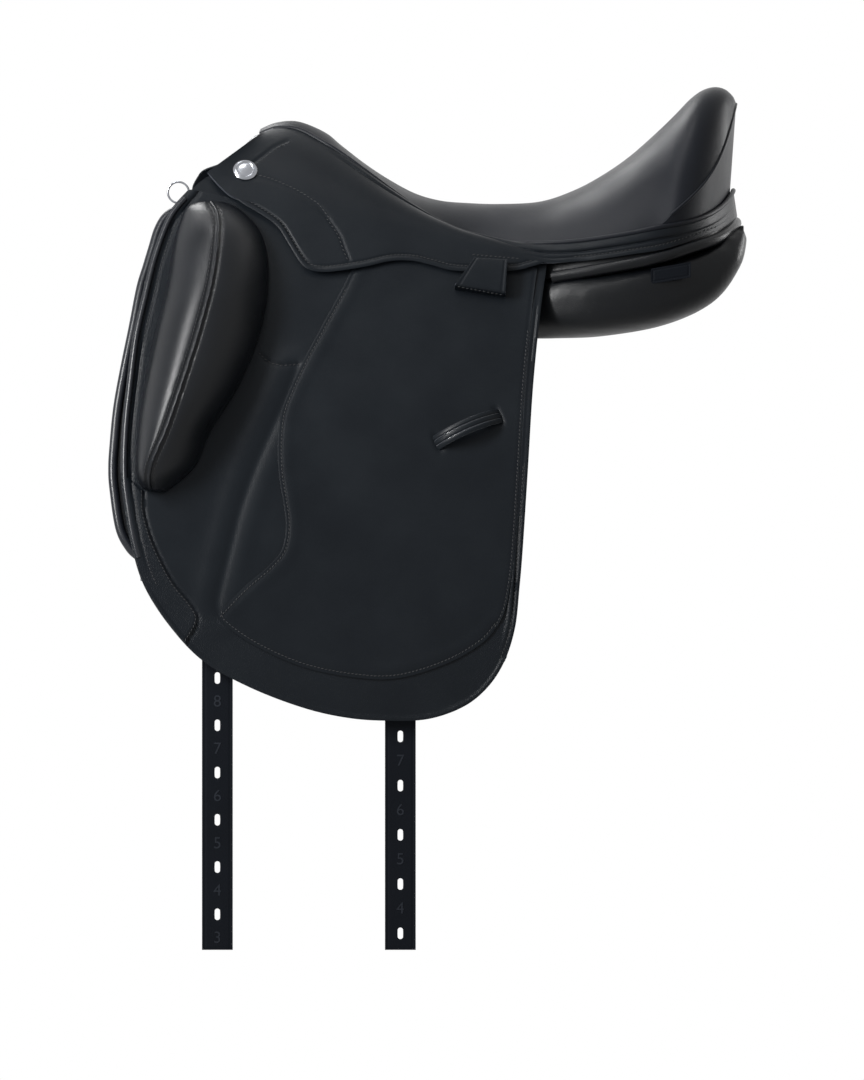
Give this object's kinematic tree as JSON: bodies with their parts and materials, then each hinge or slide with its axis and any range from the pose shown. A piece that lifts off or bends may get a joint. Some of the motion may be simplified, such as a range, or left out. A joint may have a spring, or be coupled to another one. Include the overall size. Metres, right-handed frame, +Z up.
{
  "type": "dressage saddle",
  "caption": "Black leather dressage saddle with a deep seat, long straight flaps with thigh blocks, folding skirts, wool panels and long girth billets.",
  "frame": {"origin": "on the middle plane, at the level where the panels bear on the horse's back, under the seat's deepest part", "axes": "+X forward to the pommel, +Y to the near (left) side, +Z up"},
  "size_m": [0.5804, 0.4388, 0.7852],
  "materials": {
    "leather": "smooth black calf leather with a satin finish",
    "flap_leather": "smooth black leather on the flaps and skirts",
    "billet_leather": "flat black bridle leather",
    "panel_leather": "soft black panel leather",
    "lining_leather": "plain black lining leather",
    "beech": "laminated beech, varnished",
    "steel": "plain steel",
    "chrome": "bright plated steel",
    "brass": "rivets of plain brass",
    "webbing": "woven linen web",
    "girth_web": "black woven nylon web",
    "foam": "seat foam"
  },
  "bodies": {
    "tree": {"tree_frame": "beech", "tree_head": "beech", "gullet_plate": "steel", "head_rivets": "brass", "seat_webbing": "webbing", "seat_foam": "foam", "seat_cover": "leather", "cantle_facing": "leather", "seat_welt": "leather", "skirt_upper_left": "leather", "skirt_upper_right": "leather", "head_nails": "chrome", "stirrup_bar_left": "steel", "stirrup_bar_right": "steel", "bar_rivets": "steel", "catch_pins": "steel", "girth_web_rear": "girth_web", "girth_web_front_left": "girth_web", "girth_web_front_right": "girth_web", "sweat_flap_left": "panel_leather", "sweat_flap_right": "panel_leather", "sweat_roll_left": "panel_leather", "sweat_roll_right": "panel_leather", "panel_left": "panel_leather", "panel_right": "panel_leather", "panel_welt": "leather", "channel_lining": "lining_leather", "ring_chape_left": "leather", "ring_chape_right": "leather", "label_tab": "leather"},
    "flap_left": {"flap_left": "flap_leather", "flap_overlay_left": "flap_leather", "thigh_block_left": "leather", "flap_keeper_left": "leather"},
    "skirt_left": {"skirt_left": "flap_leather", "skirt_keeper_left": "leather"},
    "front_billet_left": {"front_billet_left": "billet_leather"},
    "rear_billet_left": {"rear_billet_left": "billet_leather"},
    "catch_left": {"catch_left": "steel"},
    "d_ring_left": {"d_ring_left": "chrome"},
    "flap_right": {"flap_right": "flap_leather", "flap_overlay_right": "flap_leather", "thigh_block_right": "leather", "flap_keeper_right": "leather"},
    "skirt_right": {"skirt_right": "flap_leather", "skirt_keeper_right": "leather"},
    "front_billet_right": {"front_billet_right": "billet_leather"},
    "rear_billet_right": {"rear_billet_right": "billet_leather"},
    "catch_right": {"catch_right": "steel"},
    "d_ring_right": {"d_ring_right": "chrome"}
  },
  "joints": [
    {"name": "flap_lift_left", "type": "hinge", "parent": "tree", "child": "flap_left", "pos_m": [0.1015, 0.11616, 0.104], "axis": [0.975, -0.0913, 0.2027], "range_deg": [0, 75]},
    {"name": "skirt_lift_left", "type": "hinge", "parent": "flap_left", "child": "skirt_left", "pos_m": [0.1015, 0.11616, 0.104], "axis": [0.975, -0.0913, 0.2027], "range_deg": [0, 50]},
    {"name": "front_billet_swing_left", "type": "hinge", "parent": "tree", "child": "front_billet_left", "pos_m": [0.239, 0.11312, 0.0656], "axis": [0, 0.9244, 0.3814], "range_deg": [-7, 7]},
    {"name": "rear_billet_swing_left", "type": "hinge", "parent": "tree", "child": "rear_billet_left", "pos_m": [0.0725, 0.12035, 0.0476], "axis": [0, 0.9312, 0.3645], "range_deg": [-7, 7]},
    {"name": "catch_left_turn", "type": "hinge", "parent": "tree", "child": "catch_left", "pos_m": [0.108, 0.104, 0.09], "axis": [0, 1, 0], "range_deg": [0, 60]},
    {"name": "ring_left_swing", "type": "hinge", "parent": "tree", "child": "d_ring_left", "pos_m": [0.26667, 0.082, 0.12876], "axis": [0.5775, 0, -0.8164], "range_deg": [-40, 40]},
    {"name": "flap_lift_right", "type": "hinge", "parent": "tree", "child": "flap_right", "pos_m": [0.1015, -0.11616, 0.104], "axis": [-0.975, -0.0913, -0.2027], "range_deg": [0, 75]},
    {"name": "skirt_lift_right", "type": "hinge", "parent": "flap_right", "child": "skirt_right", "pos_m": [0.1015, -0.11616, 0.104], "axis": [-0.975, -0.0913, -0.2027], "range_deg": [0, 50]},
    {"name": "front_billet_swing_right", "type": "hinge", "parent": "tree", "child": "front_billet_right", "pos_m": [0.239, -0.11312, 0.0656], "axis": [0, 0.9244, -0.3814], "range_deg": [-7, 7]},
    {"name": "rear_billet_swing_right", "type": "hinge", "parent": "tree", "child": "rear_billet_right", "pos_m": [0.0725, -0.12035, 0.0476], "axis": [0, 0.9312, -0.3645], "range_deg": [-7, 7]},
    {"name": "catch_right_turn", "type": "hinge", "parent": "tree", "child": "catch_right", "pos_m": [0.108, -0.104, 0.09], "axis": [0, 1, 0], "range_deg": [0, 60]},
    {"name": "ring_right_swing", "type": "hinge", "parent": "tree", "child": "d_ring_right", "pos_m": [0.26667, -0.082, 0.12876], "axis": [0.5775, 0, -0.8164], "range_deg": [-40, 40]}
  ]
}
